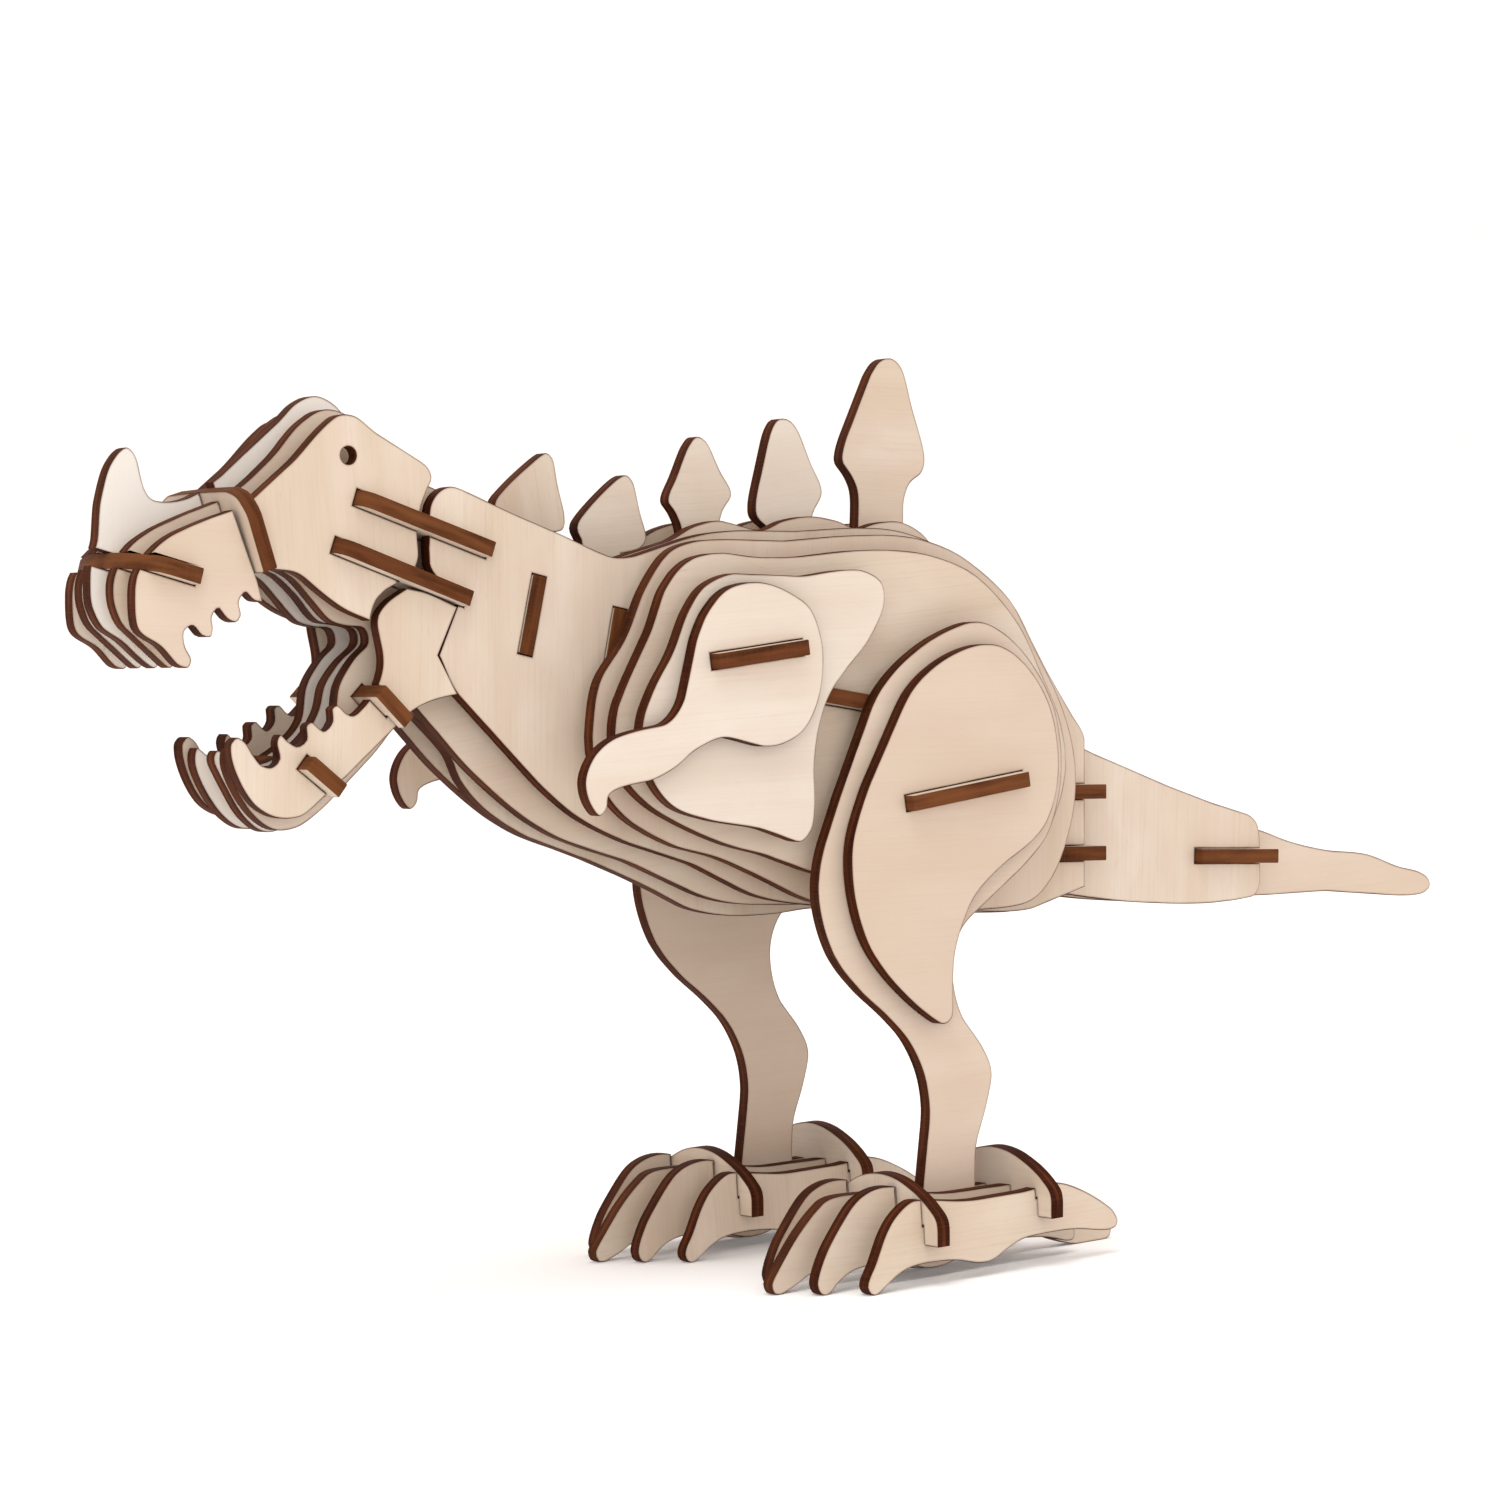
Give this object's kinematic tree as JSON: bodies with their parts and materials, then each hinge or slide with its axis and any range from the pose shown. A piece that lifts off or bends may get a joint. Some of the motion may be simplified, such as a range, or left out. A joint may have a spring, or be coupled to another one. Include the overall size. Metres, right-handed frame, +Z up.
{
  "type": "wooden 3d jigsaw model",
  "caption": "Slot-together plywood dinosaur model: layered lengthways plates on cross boards, open toothed mouth, nose horn, spear-shaped back spikes and two broad toed feet.",
  "frame": {"origin": "on the floor, under the middle of the model's overall box", "axes": "+X runs from the snout toward the tail, +Y to the animal's right, +Z up from the floor it stands on"},
  "size_m": [0.3304, 0.0994, 0.1832],
  "materials": {
    "plywood": "sanded birch plywood faces, dark brown laser-burnt cut edges"
  },
  "bodies": {
    "root": {"head_centre_plate": "plywood", "head_inner_plate_left": "plywood", "head_inner_plate_right": "plywood", "snout_tooth_plate_left": "plywood", "snout_tooth_plate_right": "plywood", "eye_plate_left": "plywood", "eye_plate_right": "plywood", "jaw_plate_left": "plywood", "jaw_plate_right": "plywood", "snout_bracket": "plywood", "nose_board": "plywood", "neck_board_upper": "plywood", "neck_board_lower": "plywood", "chin_board": "plywood", "jaw_rear_board": "plywood", "body_centre_plate": "plywood", "body_inner_plate_left": "plywood", "body_inner_plate_right": "plywood", "neck_body_plate_left": "plywood", "neck_body_plate_right": "plywood", "flank_inner_plate_left": "plywood", "flank_inner_plate_right": "plywood", "flank_outer_plate_left": "plywood", "flank_outer_plate_right": "plywood", "shoulder_plate_left": "plywood", "shoulder_plate_right": "plywood", "arm_plate_left": "plywood", "arm_plate_right": "plywood", "arm_board": "plywood", "upper_hip_board": "plywood", "neck_bulkhead_front": "plywood", "neck_bulkhead_rear": "plywood", "spike_1": "plywood", "spike_2": "plywood", "spike_3": "plywood", "spike_4": "plywood", "spike_5": "plywood", "tail_base_plate_left": "plywood", "tail_base_plate_right": "plywood", "tail_tip_plate": "plywood", "tail_board_upper": "plywood", "tail_board_lower": "plywood", "tail_tip_board": "plywood", "leg_plate_left": "plywood", "leg_plate_right": "plywood", "thigh_plate_left": "plywood", "thigh_plate_right": "plywood", "hip_board": "plywood", "left_foot_toe_1": "plywood", "left_foot_toe_2": "plywood", "left_foot_toe_3": "plywood", "left_foot_toe_4": "plywood", "left_foot_arch_front": "plywood", "left_foot_arch_rear": "plywood", "right_foot_toe_1": "plywood", "right_foot_toe_2": "plywood", "right_foot_toe_3": "plywood", "right_foot_toe_4": "plywood", "right_foot_arch_front": "plywood", "right_foot_arch_rear": "plywood"}
  },
  "joints": []
}
